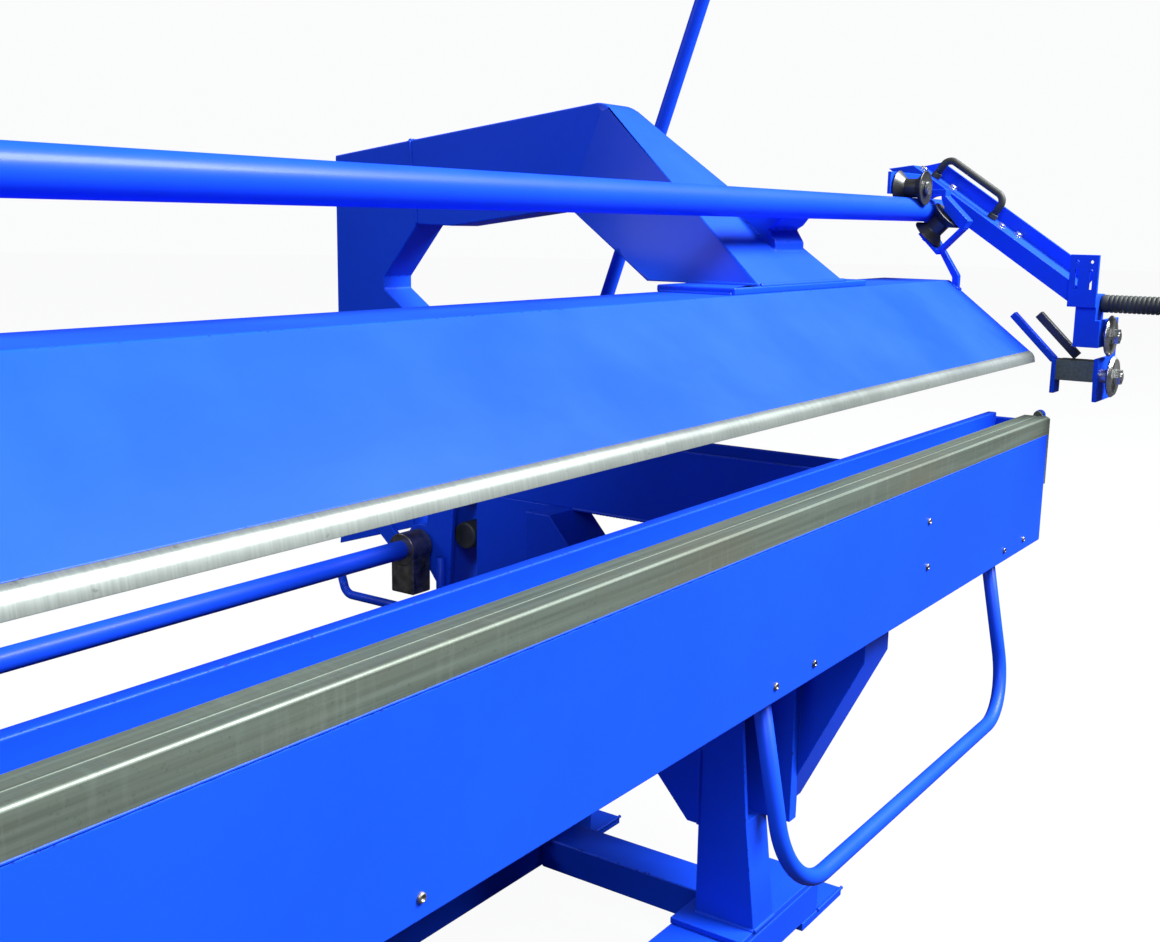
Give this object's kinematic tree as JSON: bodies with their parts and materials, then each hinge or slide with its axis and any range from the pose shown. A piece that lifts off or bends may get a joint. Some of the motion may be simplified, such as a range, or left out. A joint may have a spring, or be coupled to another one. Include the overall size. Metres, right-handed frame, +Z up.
{
  "type": "roofing sheet metal folder",
  "caption": "Hand folding machine for roofing sheet: hinged bending beam with bow handles, lever-clamped upper jaw on arched arms, and a rolling cutter on a tube rail",
  "frame": {"origin": "on the floor under the bending line, at the middle of the working length", "axes": "+X along the bending line to the operator's right, +Y from the operator into the machine, +Z up"},
  "size_m": [2.905, 1.378, 1.6994],
  "materials": {
    "blue_paint": "glossy enamel",
    "bar_steel": "ground, lightly oiled",
    "blade_steel": "ground bright",
    "zinc_steel": "zinc plated",
    "black_rubber": "matt rubber",
    "black_plastic": "matt hard plastic"
  },
  "bodies": {
    "frame": {"front_base_beam": "blue_paint", "rear_base_beam": "blue_paint", "anchor_plates": "blue_paint", "base_ties": "blue_paint", "right_front_leg": "blue_paint", "left_front_leg": "blue_paint", "right_brace": "blue_paint", "left_brace": "blue_paint", "right_rear_leg": "blue_paint", "left_rear_leg": "blue_paint", "right_lower_arm": "blue_paint", "left_lower_arm": "blue_paint", "right_pivot_pin": "zinc_steel", "left_pivot_pin": "zinc_steel", "right_shaft_bracket": "blue_paint", "left_shaft_bracket": "blue_paint", "lower_beam": "blue_paint", "lower_jaw_bar": "bar_steel", "right_hinge_bracket": "blue_paint", "left_hinge_bracket": "blue_paint"},
    "bending_beam": {"apron": "blue_paint", "apron_bar": "bar_steel", "right_hinge_cheek": "bar_steel", "left_hinge_cheek": "bar_steel", "right_bow_handle": "blue_paint", "left_bow_handle": "blue_paint", "apron_bolts": "zinc_steel"},
    "upper_jaw": {"clamp_cover": "blue_paint", "clamp_blade": "blade_steel", "right_clamp_arm": "blue_paint", "left_clamp_arm": "blue_paint", "right_rear_post": "blue_paint", "left_rear_post": "blue_paint", "right_jaw_tail": "blue_paint", "left_jaw_tail": "blue_paint", "guide_rail": "blue_paint", "rail_struts": "blue_paint"},
    "clamping_shaft": {"torsion_shaft": "blue_paint", "right_crank": "blue_paint", "left_crank": "blue_paint", "clamp_lever": "blue_paint", "lever_grip": "black_rubber"},
    "right_link": {"right_link": "blue_paint"},
    "left_link": {"left_link": "blue_paint"},
    "cutter": {"cutter_arm": "blue_paint", "front_yoke": "blue_paint", "roller_axles": "zinc_steel", "carry_handle": "black_rubber", "slot_plate": "blue_paint", "knife_frame": "blue_paint", "knife_axles": "zinc_steel", "guide_block": "bar_steel", "guide_fork": "blue_paint", "stop_bar": "black_plastic", "push_grip": "black_rubber", "cutter_bolts": "zinc_steel"},
    "top_roller": {"top_roller": "black_plastic"},
    "front_roller": {"front_roller": "black_plastic"},
    "upper_knife": {"upper_knife": "zinc_steel"},
    "lower_knife": {"lower_knife": "zinc_steel"}
  },
  "joints": [
    {"name": "apron_hinge", "type": "hinge", "parent": "frame", "child": "bending_beam", "pos_m": [0, 0, 0.805], "axis": [-1, 0, 0], "range_deg": [0, 115]},
    {"name": "jaw_hinge", "type": "hinge", "parent": "frame", "child": "upper_jaw", "pos_m": [0, 0.79, 0.805], "axis": [1, 0, 0], "range_deg": [0, 6.86]},
    {"name": "lever_turn", "type": "hinge", "parent": "frame", "child": "clamping_shaft", "pos_m": [0, 0.873, 0.56], "axis": [1, 0, 0], "range_deg": [0, 30.2]},
    {"name": "right_link_turn", "type": "hinge", "parent": "clamping_shaft", "child": "right_link", "pos_m": [0.7165, 0.90478, 0.49763], "axis": [1, 0, 0], "range_deg": [-28.4, 0]},
    {"name": "left_link_turn", "type": "hinge", "parent": "clamping_shaft", "child": "left_link", "pos_m": [-0.7165, 0.90478, 0.49763], "axis": [1, 0, 0], "range_deg": [-28.4, 0]},
    {"name": "cutter_slide", "type": "slide", "parent": "upper_jaw", "child": "cutter", "axis": [1, 0, 0], "range_m": [-2.55, 0]},
    {"name": "top_roller_spin", "type": "hinge", "parent": "cutter", "child": "top_roller", "pos_m": [1.215, 0.21, 1.1938], "axis": [0, 1, 0], "continuous": true},
    {"name": "front_roller_spin", "type": "hinge", "parent": "cutter", "child": "front_roller", "pos_m": [1.28, 0.18433, 1.13183], "axis": [0, 0.7071, -0.7071], "continuous": true},
    {"name": "upper_knife_spin", "type": "hinge", "parent": "cutter", "child": "upper_knife", "pos_m": [1.392, -0.096, 0.947], "axis": [0, 1, 0], "continuous": true},
    {"name": "lower_knife_spin", "type": "hinge", "parent": "cutter", "child": "lower_knife", "pos_m": [1.392, -0.1053, 0.877], "axis": [0, 1, 0], "continuous": true}
  ],
  "couplings": [
    {"joint": "lever_turn", "follows": "jaw_hinge", "ratio": 4.3732},
    {"joint": "right_link_turn", "follows": "jaw_hinge", "ratio": -4.102},
    {"joint": "left_link_turn", "follows": "jaw_hinge", "ratio": -4.102},
    {"joint": "top_roller_spin", "follows": "cutter_slide", "rad_per_m": 62.5},
    {"joint": "front_roller_spin", "follows": "cutter_slide", "rad_per_m": -62.5}
  ]
}
